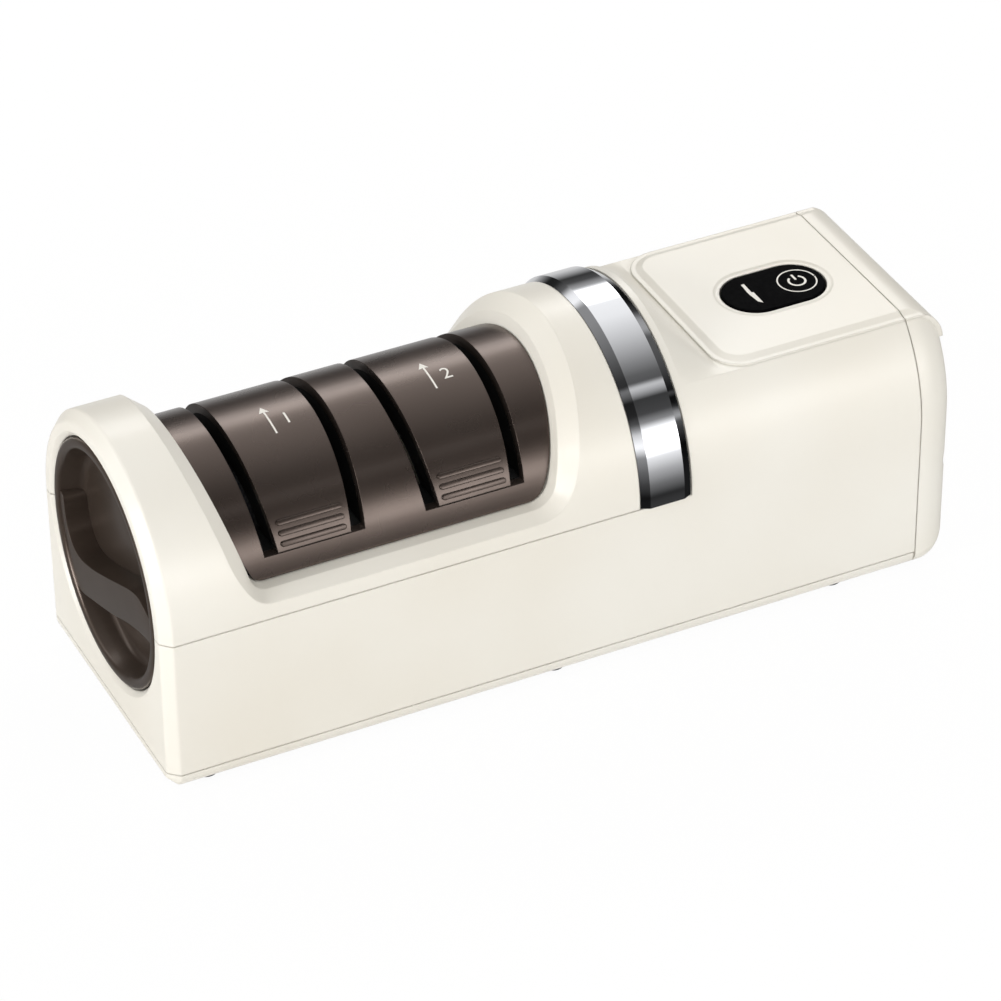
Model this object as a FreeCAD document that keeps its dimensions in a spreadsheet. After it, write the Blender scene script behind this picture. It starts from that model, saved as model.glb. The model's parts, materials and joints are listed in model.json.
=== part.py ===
import FreeCAD, Part
import math
import os
import re
import Sketcher

# Electric knife sharpener: a long kitchen appliance that lies flat on a worktop.
# A half-round front housing holds the grinding wheels under a lift-off slotted cover,
# a bright trim arch joins it to the rear body with motor, battery and power key,
# and a turn knob in the front end pulls out with the filings tray.
#
# Bench coordinates: x runs from the front face (knob end) to the rear, y is across with 0 on
# the middle plane, z goes up from the underside of the housing. Every piece is placed with one
# shift, so that the finished part has its origin on the worktop under its middle.

doc = FreeCAD.newDocument("KnifeSharpener")

SIZES = {
    "body_length": 198.0,
    "body_width": 70.0,
    "axis_height": 39.4,
    "panel_height": 64.0,
    "deck_height": 62.9,
    "panel_half_width": 22.9,
    "panel_bevel": 2.9,
    "panel_corner": 5.0,
    "base_height": 4.1,
    "foot_drop": 1.2,
    "wall": 2.4,
    "seam_gap": 0.24,
    "front_bevel": 2.4,
    "edge_round": 3.6,
    "rear_round": 8.4,
    "shell_end": 115.3,
    "trim_end": 128.3,
    "arch_end": 130.2,
    "deck_start": 141.0,
    "panel_start": 143.9,
    "cap_start": 187.6,
    "trim_radius": 35.9,
    "trim_edge_radius": 34.9,
    "trim_inside": 33.2,
    "neck_outside": 32.9,
    "neck_inside": 30.6,
    "knob_radius": 28.85,
    "knob_depth": 8.4,
    "knob_gap": 0.35,
    "knob_rim": 2.3,
    "knob_recess": 0.25,
    "hub_radius": 8.0,
    "cover_radius": 28.85,
    "cover_skin": 2.2,
    "cover_gap": 0.35,
    "cover_sill": 44.7,
    "slot_width": 3.3,
    "slot_floor": 49.7,
    "slot_spread": 21.2,
    "slot_lean": 5.4,
    "coarse_stage": 39.8,
    "fine_stage": 78.5,
    "insert_inside": 20.0,
    "insert_length": 33.0,
    "wheel_radius": 18.0,
    "wheel_width": 5.0,
    "wheel_offset": 6.0,
    "shaft_radius": 3.0,
    "shaft_tip_radius": 2.5,
    "shaft_start": 9.0,
    "shaft_end": 119.5,
    "running_gap": 0.05,
    "press_gap": 0.02,
    "bush_radius": 5.0,
    "bulkhead_start": 105.0,
    "bulkhead_thickness": 3.0,
    "tray_outside": 27.6,
    "tray_skin": 1.4,
    "tray_front": 9.0,
    "tray_end": 103.0,
    "tray_top": 35.2,
    "motor_start": 133.2,
    "motor_length": 36.0,
    "motor_radius": 13.8,
    "motor_skin": 0.8,
    "motor_shaft_radius": 1.5,
    "armature_radius": 10.4,
    "magnet_inside": 11.1,
    "bracket_start": 131.5,
    "bracket_thickness": 1.5,
    "cell_radius": 9.2,
    "cell_length": 65.0,
    "cell_start": 112.0,
    "cell_pitch": 20.0,
    "cell_height": 13.8,
    "board_height": 55.2,
    "board_thickness": 1.6,
    "board_start": 144.0,
    "board_length": 40.0,
    "board_width": 36.0,
    "key_centre": 166.9,
    "key_side": 1.4,
    "key_length": 25.2,
    "key_width": 15.6,
    "key_rise": 0.0,
    "key_gap": 0.35,
    "key_travel": 0.5,
    "socket_height": 14.0,
    "socket_width": 9.0,
    "socket_thickness": 3.2,
    "foot_radius": 5.0,
    "screw_radius": 1.4,
    "screw_head_radius": 2.7,
    "boss_radius": 3.4,
}

sheet = doc.addObject("Spreadsheet::Sheet", "Sizes")
for row, (alias, number) in enumerate(SIZES.items(), start=1):
    sheet.set("A%d" % row, alias)
    sheet.set("B%d" % row, str(number))
    sheet.setAlias("B%d" % row, alias)
doc.recompute()

ALIAS = re.compile(r"\b(" + "|".join(sorted(SIZES, key=len, reverse=True)) + r")\b")
SCRATCH_CELL = "D1"


def bound(formula):
    """The formula as an object's expression, with each alias read from the sheet."""
    return ALIAS.sub(r"Sizes.\1", formula)


def value(formula):
    """The number that a formula of aliases has now, worked out by the sheet."""
    sheet.set(SCRATCH_CELL, "=" + formula)
    sheet.recompute()
    return float(sheet.get(SCRATCH_CELL))


# Driving numbers that the freeform shapes below read often
LENGTH = value("body_length")
HALF = value("body_width / 2")
AXIS = value("axis_height")
WALL = value("wall")
GAP = value("seam_gap")
TALL = 120.0
X_AXIS = FreeCAD.Vector(1, 0, 0)
Y_AXIS = FreeCAD.Vector(0, 1, 0)
Z_AXIS = FreeCAD.Vector(0, 0, 1)

sub_parts = []


def keep(item, label):
    """Name a finished sub-part, place it in the part's frame and list it for writing."""
    rise = "axis_height" if item.TypeId == "PartDesign::Body" else "0"
    place(item, "0 - body_length / 2", "0", rise + " + foot_drop")
    item.Label = label
    sub_parts.append(item)
    return item


def vector(x, y, z):
    return FreeCAD.Vector(x, y, z)


# Helpers for Part primitives and booleans bound to the sheet


def bind(item, settings):
    for name, formula in settings.items():
        item.setExpression(name, bound(formula))
    return item


def place(item, x="0", y="0", z="0"):
    return bind(item, {"Placement.Base.x": x, "Placement.Base.y": y, "Placement.Base.z": z})


def rod(name, start, radius, length, along="x"):
    """A cylinder from the centre of its first end, along x or z."""
    item = doc.addObject("Part::Cylinder", name)
    bind(item, {"Radius": radius, "Height": length})
    if along == "x":
        item.Placement = FreeCAD.Placement(vector(0, 0, 0), FreeCAD.Rotation(Y_AXIS, 90))
    return place(item, *start)


def cut(name, base, tool):
    item = doc.addObject("Part::Cut", name)
    item.Base = base
    item.Tool = tool
    return item


def common(name, base, tool):
    item = doc.addObject("Part::Common", name)
    item.Base = base
    item.Tool = tool
    return item


def fuse(name, pieces):
    item = doc.addObject("Part::MultiFuse", name)
    item.Shapes = pieces
    item.Refine = True
    return item


def group(name, pieces):
    """Identical pieces that share one node, each still a solid of its own."""
    item = doc.addObject("Part::Compound", name)
    item.Links = pieces
    return item


def freeform(name, shape):
    """A shape made with Part's own functions, as an object of the document."""
    item = doc.addObject("Part::Feature", name)
    item.Shape = shape
    return item


# Helpers for PartDesign bodies


def origin_plane(body, role):
    return next(plane for plane in body.Origin.OriginFeatures if plane.Role == role)


def outline_sketch(body, name, role, corners):
    """A closed sketch through corners given as pairs of formulas, each one held to the sheet."""
    sketch = body.newObject("Sketcher::SketchObject", name)
    sketch.AttachmentSupport = [(origin_plane(body, role), "")]
    sketch.MapMode = "FlatFace"
    points = [vector(value(x), value(y), 0) for x, y in corners]
    count = len(points)
    for index, point in enumerate(points):
        sketch.addGeometry(Part.LineSegment(point, points[(index + 1) % count]), False)
    for index in range(count):
        sketch.addConstraint(Sketcher.Constraint("Coincident", index, 2, (index + 1) % count, 1))
    for index, (x, y) in enumerate(corners):
        for kind, formula in (("DistanceX", x), ("DistanceY", y)):
            number = sketch.addConstraint(
                Sketcher.Constraint(kind, -1, 1, index, 1, value(formula)))
            sketch.setExpression("Constraints[%d]" % number, bound(formula))
    return sketch


def turned(label, corners, angle=360.0):
    """A body turned about the x direction from an outline of (x, radius) corners."""
    body = doc.addObject("PartDesign::Body", label)
    sketch = outline_sketch(body, label + "_outline", "XZ_Plane", corners)
    turn = body.newObject("PartDesign::Revolution", label + "_turn")
    turn.Profile = sketch
    turn.ReferenceAxis = (sketch, ["H_Axis"])
    turn.Angle = angle
    turn.Midplane = angle < 360.0
    body.Tip = turn
    return place(body, z="axis_height")


# Outer form: cross-sections of the housing


def section(x, inset, floor, flat):
    """Closed cross-section at x: upright sides, round shoulders and a round or flat top."""
    half = HALF - inset
    top = value("deck_height") - inset
    shoulder = math.acos((top - AXIS) / half)
    y = half * math.sin(shoulder)
    middle = (math.pi / 2 + shoulder) / 2
    left_low = vector(x, -half, floor)
    left_side = vector(x, -half, AXIS)
    left_top = vector(x, -y, top)
    right_top = vector(x, y, top)
    right_side = vector(x, half, AXIS)
    right_low = vector(x, half, floor)
    left_mid = vector(x, -half * math.sin(middle), AXIS + half * math.cos(middle))
    right_mid = vector(x, half * math.sin(middle), AXIS + half * math.cos(middle))
    if flat:
        crown = Part.LineSegment(left_top, right_top)
    else:
        crown = Part.Arc(left_top, vector(x, 0, AXIS + half), right_top)
    edges = [
        Part.LineSegment(right_low, left_low),
        Part.LineSegment(left_low, left_side),
        Part.Arc(left_side, left_mid, left_top),
        crown,
        Part.Arc(right_top, right_mid, right_side),
        Part.LineSegment(right_side, right_low),
    ]
    return Part.Wire([edge.toShape() for edge in edges])


def run(wire, length):
    return Part.Face(wire).extrude(vector(length, 0, 0))


def envelope(start, end, inset, floor):
    """The housing's form from start to end: arch, sloping shoulder and flat deck."""
    arch_end = value("arch_end")
    deck_start = value("deck_start")
    stretches = []
    if start < arch_end:
        stretches.append(run(section(start, inset, floor, False), min(end, arch_end) - start))
    if end > deck_start:
        first = max(start, deck_start)
        slope = Part.makeLoft([section(arch_end, inset, floor, False),
                               section(deck_start, inset, floor, True)], True, True)
        if start < arch_end:
            stretches.append(slope)
        stretches.append(run(section(first, inset, floor, True), end - first))
    whole = stretches[0]
    for stretch in stretches[1:]:
        whole = whole.fuse(stretch)
    return whole.removeSplitter()


def edges_where(shape, test):
    return [edge for edge in shape.Edges if test(edge.BoundBox)]


def rounded_envelope():
    """The whole outside: rounded underside, bevelled front end and rounded rear end."""
    form = envelope(0.0, LENGTH, 0.0, 0.0)
    bevel = value("front_bevel")
    small = 0.01
    sides = edges_where(form, lambda box: box.ZMax < small and box.XMax - box.XMin > 20)
    form = form.makeFillet(value("edge_round"), sides)
    form = form.makeChamfer(bevel, edges_where(form, lambda box: box.XMax < small))
    rear = edges_where(form, lambda box: box.XMin > LENGTH - small)
    form = form.makeFillet(value("rear_round"), rear)
    crease = edges_where(
        form, lambda box: box.XMax < bevel + small and box.XMax - box.XMin < small
        and box.ZMax > 5)
    form = form.makeFillet(0.9, crease)
    return form.fuse(raised_panel()).removeSplitter()


def panel_outline(spread, z):
    """Outline of the raised panel at height z, with two round front corners and an open rear."""
    half = value("panel_half_width") + spread
    front = value("panel_start") - spread
    corner = value("panel_corner") + spread
    tail = LENGTH + 2
    tuck = corner * (1 - math.sqrt(0.5))
    edges = []
    for side in (-1, 1):
        edges.append(Part.LineSegment(vector(tail, side * half, z),
                                      vector(front + corner, side * half, z)))
        edges.append(Part.Arc(vector(front + corner, side * half, z),
                              vector(front + tuck, side * (half - tuck), z),
                              vector(front, side * (half - corner), z)))
    edges.append(Part.LineSegment(vector(front, half - corner, z),
                                  vector(front, corner - half, z)))
    edges.append(Part.LineSegment(vector(tail, half, z), vector(tail, -half, z)))
    return Part.Wire(Part.__sortEdges__([edge.toShape() for edge in edges]))


def raised_panel():
    """The plateau that carries the power key, with sloping sides and a rounded rear edge."""
    top = value("panel_height")
    low = value("deck_height") - 0.05
    plateau = Part.makeLoft([panel_outline(value("panel_bevel"), low), panel_outline(0.0, top)],
                            True, True)
    core = Part.Face(panel_outline(value("panel_bevel") - 0.1, low - 7))
    plateau = plateau.fuse(core.extrude(vector(0, 0, 7.5)))
    stay = Part.makeBox(LENGTH - 100, 2 * HALF, top - low + 12, vector(100, -HALF, low - 12))
    edge = edges_where(stay, lambda box: box.XMin > LENGTH - 0.01 and box.ZMin > top - 0.01)
    return plateau.common(stay.makeFillet(value("rear_round") + 0.6, edge))


OUTSIDE = rounded_envelope()
print("outside form valid", OUTSIDE.isValid(), "solids", len(OUTSIDE.Solids))


def slab(x0, x1, z0, z1, half_width=60.0):
    return Part.makeBox(x1 - x0, 2 * half_width, z1 - z0, vector(x0, -half_width, z0))


def tube(x0, x1, outer, inner):
    ring = Part.makeCylinder(outer, x1 - x0, vector(x0, 0, AXIS), X_AXIS)
    if inner > 0:
        ring = ring.cut(Part.makeCylinder(inner, x1 - x0 + 2, vector(x0 - 1, 0, AXIS), X_AXIS))
    return ring


# Opening for the slotted cover: one closed outline on each of several cylinders

INNER_LEFT_TOP = 17.6
INNER_LEFT_LEAN = 0.25
INNER_RIGHT_TOP = 102.6
INNER_RIGHT_LEAN = 0.31
INNER_LEFT_CORNER = 4.0
INNER_RIGHT_CORNER = 6.5
OUTER_SIDE_STEP = 3.2
OUTER_SILL_STEP = 1.4
BEVEL_START = 31.6
ARC_STEPS = 8
OVER_STEPS = 16


def side_outline(spread, flare):
    """Half of the outline seen from the side, from its sill to its top, for both ends.

    spread moves it outwards all round, flare (0 to 1 at the outer skin) opens the bevel.
    """
    top = value("axis_height + cover_radius")
    sill = value("cover_sill") - spread - OUTER_SILL_STEP * flare
    step = spread + OUTER_SIDE_STEP * flare
    ends = []
    for sign, at_top, lean, corner in (
            (-1, INNER_LEFT_TOP, INNER_LEFT_LEAN, INNER_LEFT_CORNER),
            (1, INNER_RIGHT_TOP, INNER_RIGHT_LEAN, INNER_RIGHT_CORNER)):
        radius = corner + spread + 4.0 * flare
        slope = math.atan(lean)
        # the wall leans inwards going down; the corner's circle touches the wall and the sill
        centre_z = sill + radius
        wall_x = at_top - sign * lean * (top - centre_z) + sign * step / math.cos(slope)
        centre_x = wall_x - sign * radius / math.cos(slope)
        ends.append((sign, centre_x, centre_z, radius, slope))
    return sill, ends


def outline_edges(radius, spread, flare):
    """The left and right edges of the opening as smooth curves on a cylinder of this radius."""
    sill, ends = side_outline(spread, flare)
    curves = []
    for sign, centre_x, centre_z, corner, slope in ends:
        points = []
        for index in range(ARC_STEPS + 1):
            turn = (math.pi / 2 - slope) * index / ARC_STEPS
            x = centre_x + sign * corner * math.sin(turn)
            z = centre_z - corner * math.cos(turn)
            points.append((x, math.acos((z - AXIS) / radius), z))
        last_x, last_angle, last_z = points[-1]
        for index in range(1, OVER_STEPS + 1):
            angle = last_angle * (1 - index / OVER_STEPS)
            z = AXIS + radius * math.cos(angle)
            points.append((last_x + sign * math.tan(slope) * (z - last_z), angle, z))
        near = [vector(x, -radius * math.sin(angle), z) for x, angle, z in points]
        far = [vector(point.x, -point.y, point.z) for point in reversed(near[:-1])]
        curve = Part.BSplineCurve()
        curve.interpolate(near + far)
        curves.append(curve.toShape())
    return curves


def opening_cutter(spread, flared):
    """A closed solid that fills the opening from inside the cover to outside the skin."""
    rings = []
    inner_radius = 16.0
    outer_radius = 42.0
    levels = [inner_radius, BEVEL_START, outer_radius] if flared else [inner_radius, outer_radius]
    for radius in levels:
        flare = 0.0
        if flared and radius > BEVEL_START:
            flare = (radius - BEVEL_START) / (HALF - BEVEL_START)
        rings.append(outline_edges(radius, spread, flare))
    faces = []
    for low, high in zip(rings, rings[1:]):
        for first, second in zip(low, high):
            faces.append(Part.makeRuledSurface(first, second))
        for end in (0, 1):
            corners = [low[0].Vertexes[end].Point, low[1].Vertexes[end].Point,
                       high[1].Vertexes[end].Point, high[0].Vertexes[end].Point]
            faces.append(Part.Face(Part.makePolygon(corners + corners[:1])))
    for ring in (rings[0], rings[-1]):
        faces.append(Part.makeRuledSurface(ring[0], ring[1]))
    shell = Part.Shell(faces)
    shell.sewShape()
    solid = Part.Solid(shell)
    if solid.Volume < 0:
        solid.reverse()
    return solid


CUTTER = opening_cutter(0.0, True)
print("cover opening cutter valid", CUTTER.isValid(), "volume", round(CUTTER.Volume))


# Housing pieces of the outer form

BASE_TOP = value("base_height")
SHELL_END = value("shell_end")
CAP_START = value("cap_start")
BORE = value("knob_radius + knob_gap")
COLLAR_END = 12.0
FRONT_WALL = 2.6
SIDE_INNER = HALF - WALL
ROOF = value("deck_height") - WALL
MOUTH_BEVEL = Part.makeCone(BORE + 1.1, BORE - 1.0, 2.1, vector(0, 0, AXIS), X_AXIS)


def post(x, y, z0, z1, radius):
    return Part.makeCylinder(radius, z1 - z0, vector(x, y, z0), Z_AXIS)


def base_plate():
    """Shallow plate that closes the underside, with foot pockets and countersunk screw holes."""
    shape = OUTSIDE.common(slab(-1, CAP_START - GAP, -1, BASE_TOP - GAP / 2))
    shape = shape.cut(slab(FRONT_WALL + 0.4, CAP_START - 3, 2.6, TALL, SIDE_INNER - 0.3))
    for x, y in FOOT_PLACES:
        shape = shape.cut(post(x, y, -1, 0.8, value("foot_radius + 0.1")))
    for x, y in BASE_SCREWS:
        shape = shape.cut(post(x, y, -1, 0.9, value("screw_head_radius + 0.2")))
        shape = shape.cut(post(x, y, -1, 5, value("screw_radius + 0.1")))
    return shape


def hollow(start, end, floor):
    """The space inside the walls of the housing."""
    return envelope(100.0, end, WALL, floor).common(slab(start, end, -1, TALL))


def main_housing():
    """Tub of the front half and whole tube of the rear body, with the neck for the trim arch."""
    shape = OUTSIDE.common(slab(-1, CAP_START, BASE_TOP + GAP / 2, TALL))
    shape = shape.cut(slab(-1, value("trim_end") + 0.15, AXIS - GAP / 2, TALL))
    shape = shape.cut(slab(FRONT_WALL, CAP_START + 1, -1, AXIS, SIDE_INNER))
    shape = shape.cut(hollow(131.2, CAP_START + 1, 10.0))
    neck = tube(SHELL_END + 0.2, 131.2, value("neck_outside"), value("neck_inside"))
    shape = shape.fuse(neck.common(slab(100, 140, AXIS - GAP / 2, TALL)))
    shape = shape.cut(tube(120, 132, value("neck_inside"), 0))
    collar = tube(0.5, COLLAR_END, BORE + 1.8, BORE)
    shape = shape.fuse(collar.common(slab(0, 20, 0, AXIS - GAP / 2)))
    shape = shape.cut(tube(-1, COLLAR_END + 1, BORE, 0)).cut(MOUTH_BEVEL)
    for x, y in BASE_SCREWS:
        shape = shape.fuse(post(x, y, BASE_TOP + GAP / 2, 15, value("boss_radius")))
        shape = shape.cut(post(x, y, 0, 14, value("screw_radius + 0.02")))
    for y in CAP_SCREW_SIDES:
        boss = Part.makeCylinder(value("boss_radius"), 14, vector(CAP_START - 14, y, 26), X_AXIS)
        hole = Part.makeCylinder(value("screw_radius + 0.02"), 12,
                                 vector(CAP_START - 11.5, y, 26), X_AXIS)
        shape = shape.fuse(boss).cut(hole)
    key_x = value("key_centre")
    key_y = -value("key_side")
    shape = shape.cut(stadium(key_x, key_y, value("key_length + 2 * key_gap"),
                              value("key_width + 2 * key_gap"), 50, TALL))
    dish_floor = value("panel_height") - 0.3
    dish = stadium(key_x, key_y, value("key_length") + 4.6, value("key_width") + 4.6,
                   dish_floor, dish_floor + 3)
    low_edge = [edge for edge in dish.Edges if edge.BoundBox.ZMax < dish_floor + 0.01]
    shape = shape.cut(dish.makeFillet(1.4, low_edge))
    for x, y in BOARD_SCREWS:
        shape = shape.fuse(post(x, y, value("board_height + board_thickness"), ROOF + 0.5, 3.0))
        shape = shape.cut(post(x, y, 50, ROOF, value("screw_radius + 0.02")))
    return shape.removeSplitter()


def stadium(x, y, length, width, z0, z1):
    """A flat-sided oval standing on z0, its long way along x."""
    radius = width / 2
    reach = length / 2 - radius
    shape = Part.makeBox(2 * reach, width, z1 - z0, vector(x - reach, y - radius, z0))
    for side in (-1, 1):
        shape = shape.fuse(post(x + side * reach, y, z0, z1, radius))
    return shape.removeSplitter()


def upper_shell():
    """Arched front cover with the opening's bevelled wall and the collar round the knob."""
    shape = OUTSIDE.common(slab(-1, SHELL_END, AXIS + GAP / 2, TALL))
    shape = shape.cut(tube(FRONT_WALL, SHELL_END + 1, SIDE_INNER, 0))
    rim = opening_cutter(1.8, True).common(tube(FRONT_WALL, SHELL_END - 2, HALF - 0.6, 26.6))
    shape = shape.fuse(rim.common(slab(0, SHELL_END, AXIS + 1, TALL)))
    collar = tube(0.5, COLLAR_END, BORE + 1.8, BORE)
    shape = shape.fuse(collar.common(slab(0, 20, AXIS + GAP / 2, TALL)))
    shape = shape.cut(tube(-1, COLLAR_END + 1, BORE, 0)).cut(MOUTH_BEVEL)
    shape = shape.cut(CUTTER)
    for x in (30.0, 90.0):
        for side in (-1, 1):
            tab = Part.makeBox(9, 1.5, 8.5, vector(x, -0.75, 33.5))
            tab.translate(vector(0, side * (SIDE_INNER - 0.95), 0))
            root = Part.makeBox(9, 2.6, 2.4, vector(x, -1.3, AXIS + GAP / 2))
            root.translate(vector(0, side * (SIDE_INNER - 0.7), 0))
            shape = shape.fuse([tab, root])
    return shape.removeSplitter()


def rear_cap():
    """End cap with rounded rear edges and the slot for the charging plug."""
    shape = OUTSIDE.common(slab(CAP_START + GAP, LENGTH + 1, -1, TALL))
    mouth = envelope(CAP_START - 1, CAP_START + 2.5, WALL, WALL + 0.6)
    well = envelope(CAP_START, LENGTH - 3.4, WALL + 5, WALL + 5)
    shape = shape.cut(mouth).cut(well)
    for y in CAP_SCREW_SIDES:
        boss = Part.makeCylinder(value("boss_radius"), 9, vector(CAP_START + GAP, y, 26), X_AXIS)
        shape = shape.fuse(boss.common(OUTSIDE))
        hole = Part.makeCylinder(value("screw_radius + 0.15"), 20, vector(CAP_START, y, 26), X_AXIS)
        head = Part.makeCylinder(value("screw_head_radius + 0.2"), 4,
                                 vector(LENGTH - 4.4, y, 26), X_AXIS)
        shape = shape.cut(hole).cut(head)
    return shape.cut(socket_form(0.2, CAP_START, LENGTH + 1)).removeSplitter()


def socket_form(spread, x0, x1):
    """The charging socket's rounded mouth as a bar along x."""
    radius = value("socket_thickness / 2") + spread
    reach = value("socket_width / 2") + spread - radius
    z = value("socket_height")
    bar = Part.makeBox(x1 - x0, 2 * reach, 2 * radius, vector(x0, -reach, z - radius))
    for side in (-1, 1):
        end = Part.makeCylinder(radius, x1 - x0, vector(x0, side * reach, z), X_AXIS)
        bar = bar.fuse(end)
    return bar.removeSplitter()


FOOT_PLACES = [(x, y) for x in (16.0, 178.0) for y in (-23.0, 23.0)]
BASE_SCREWS = [(x, y) for x in (10.4, 96.0, 168.0) for y in (-29.6, 29.6)]
CAP_SCREW_SIDES = (-29.6, 29.6)
BOARD_SCREWS = [(148.0, -13.0), (148.0, 13.0)]

keep(freeform("base_plate_form", base_plate()), "base_plate")
keep(freeform("main_housing_form", main_housing()), "main_housing")
keep(freeform("upper_shell_form", upper_shell()), "upper_shell")
keep(freeform("rear_cap_form", rear_cap()), "rear_cap")

# Bright trim arch between the shell and the rear body

trim = turned("trim_arch_body", [
    ("shell_end + 0.2", "trim_inside"),
    ("shell_end + 0.2", "trim_edge_radius"),
    ("shell_end + 2.2", "trim_radius"),
    ("trim_end - 2.2", "trim_radius"),
    ("trim_end - 0.2", "trim_edge_radius"),
    ("trim_end - 0.2", "trim_inside"),
], angle=179.4)
keep(trim, "trim_arch")

# Rubber feet and screws


def foot(index, x, y):
    return rod("foot_%d" % index, ("%g" % x, "%g" % y, "0 - foot_drop"), "foot_radius",
               "foot_drop + 0.75", along="z")


keep(group("feet_group", [foot(i, x, y) for i, (x, y) in enumerate(FOOT_PLACES)]), "rubber_feet")


def screw(start, direction, length):
    """Pan-head screw: its head's outer face is centred on start, direction points to the tip."""
    head = Part.makeCylinder(value("screw_head_radius"), 1.6, start, direction)
    shank = Part.makeCylinder(value("screw_radius"), length, start, direction)
    drive = Part.makeCylinder(1.1, 0.8, start, direction)
    return head.fuse(shank).cut(drive).removeSplitter()


def screws(label, places, direction, length):
    shape = Part.makeCompound([screw(vector(*start), direction, length) for start in places])
    keep(freeform(label + "_group", shape), label)


screws("base_screws", [(x, y, 0.9 - 1.6) for x, y in BASE_SCREWS], Z_AXIS, 13.5)
screws("cap_screws", [(LENGTH - 2.8, y, 26) for y in CAP_SCREW_SIDES], -X_AXIS, 18)
screws("board_screws", [(x, y, value("board_height") - 1.6) for x, y in BOARD_SCREWS], Z_AXIS, 6.4)

# Lift-off cover with its two stages


def stage_prism(centre, half_top, half_floor, floor, spread=0.0):
    """A prism across the body whose ends lean with the knife slots."""
    top = 66.5
    rise = (TALL - floor) / (top - floor)
    low = half_floor + spread
    high = half_floor + spread + (half_top - half_floor) * rise
    corners = [vector(centre - low, -60, floor), vector(centre + low, -60, floor),
               vector(centre + high, -60, TALL), vector(centre - high, -60, TALL)]
    return Part.Face(Part.makePolygon(corners + corners[:1])).extrude(vector(0, 120, 0))


SLOT = value("slot_width")
SLOT_FLOOR = value("slot_floor")
SPREAD_FLOOR = value("slot_spread / 2 - 0.25")
SPREAD_TOP = value("slot_spread / 2 - 0.25 + 16.8 * tan(slot_lean * 1 deg)")
STAGES = {"coarse": value("coarse_stage"), "fine": value("fine_stage")}


def window(centre):
    return stage_prism(centre, SPREAD_TOP + SLOT / 2, SPREAD_FLOOR + SLOT / 2, SLOT_FLOOR)


def middle_block(centre, floor):
    return stage_prism(centre, SPREAD_TOP - SLOT / 2, SPREAD_FLOOR - SLOT / 2, floor)


def slot_pair(centre):
    return window(centre).cut(middle_block(centre, SLOT_FLOOR - 1))


COVER_OUT = value("cover_radius")
COVER_IN = value("cover_radius - cover_skin")


def guide_cover():
    """Curved skin of the cover, cut by a window for each stage."""
    shape = tube(10, 110, COVER_OUT, COVER_IN).common(opening_cutter(-value("cover_gap"), False))
    for centre in STAGES.values():
        shape = shape.cut(window(centre))
    return shape


def guide_block(centre):
    """Curved block between the two slots of a stage, a separate moulding in the window."""
    return tube(10, 110, COVER_OUT, COVER_IN).common(middle_block(centre, SLOT_FLOOR + 0.2))


def guide_insert(centre):
    """Black slot lining under the cover: an arch over the wheels, cut by the two slots."""
    half = value("insert_length / 2")
    shape = tube(centre - half, centre + half, COVER_IN - 0.02, value("insert_inside"))
    shape = shape.common(opening_cutter(-value("cover_gap") - 0.5, False))
    return shape.cut(slot_pair(centre))


keep(freeform("guide_cover_form", guide_cover()), "guide_cover")
for stage, centre in STAGES.items():
    keep(freeform("guide_block_%s_form" % stage, guide_block(centre)), "guide_block_" + stage)
    keep(freeform("guide_insert_%s_form" % stage, guide_insert(centre)), "guide_insert_" + stage)

# Grinding shaft, wheels and coupling, all turned on the grinding axis

keep(turned("drive_shaft_body", [
    ("shaft_start", "0"),
    ("shaft_end", "0"),
    ("shaft_end", "shaft_radius"),
    ("shaft_start + 4", "shaft_radius"),
    ("shaft_start + 4", "shaft_tip_radius"),
    ("shaft_start", "shaft_tip_radius"),
]), "drive_shaft")


def wheel(stage, side):
    """Grinding wheel with a coned rim that faces its slot and a hub towards the stage middle."""
    name = "%s_wheel_%s" % (stage, "front" if side < 0 else "rear")
    centre = "%s_stage %s wheel_offset" % (stage, "-" if side < 0 else "+")
    out = "-" if side < 0 else "+"
    back = "+" if side < 0 else "-"
    corners = [
        ("%s %s wheel_width / 2" % (centre, back), "shaft_radius + press_gap"),
        ("%s %s wheel_width / 2" % (centre, back), "wheel_radius"),
        ("%s %s 0.6" % (centre, out), "wheel_radius"),
        ("%s %s wheel_width / 2" % (centre, out), "wheel_radius - 5"),
        ("%s %s wheel_width / 2" % (centre, out), "shaft_radius + press_gap"),
    ]
    return turned(name, corners)


for stage in STAGES:
    keep(group(stage + "_wheel_pair", [wheel(stage, -1), wheel(stage, 1)]), stage + "_wheels")


def spacer(index, start, end):
    return turned("spacer_%d" % index, [
        (start, "shaft_radius + press_gap"), (end, "shaft_radius + press_gap"),
        (end, "shaft_radius + 2.4"), (start, "shaft_radius + 2.4")])


keep(group("spacer_group", [
    spacer(0, "shaft_start + 6", "coarse_stage - wheel_offset - wheel_width / 2"),
    spacer(1, "coarse_stage - wheel_offset + wheel_width / 2",
           "coarse_stage + wheel_offset - wheel_width / 2"),
    spacer(2, "coarse_stage + wheel_offset + wheel_width / 2",
           "fine_stage - wheel_offset - wheel_width / 2"),
    spacer(3, "fine_stage - wheel_offset + wheel_width / 2",
           "fine_stage + wheel_offset - wheel_width / 2"),
    spacer(4, "fine_stage + wheel_offset + wheel_width / 2", "bulkhead_start - 3"),
]), "wheel_spacers")

keep(turned("coupling_body", [
    ("shaft_end - 6", "shaft_radius + press_gap"),
    ("shaft_end - 6", "7"),
    ("shaft_end + 9", "7"),
    ("shaft_end + 9", "motor_shaft_radius + press_gap"),
    ("shaft_end + 0.5", "motor_shaft_radius + press_gap"),
    ("shaft_end + 0.5", "shaft_radius + press_gap"),
]), "shaft_coupling")

keep(turned("motor_spindle_body", [
    ("shaft_end + 1.5", "0"),
    ("motor_start + motor_length - 1", "0"),
    ("motor_start + motor_length - 1", "motor_shaft_radius"),
    ("shaft_end + 1.5", "motor_shaft_radius"),
]), "motor_spindle")

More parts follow.
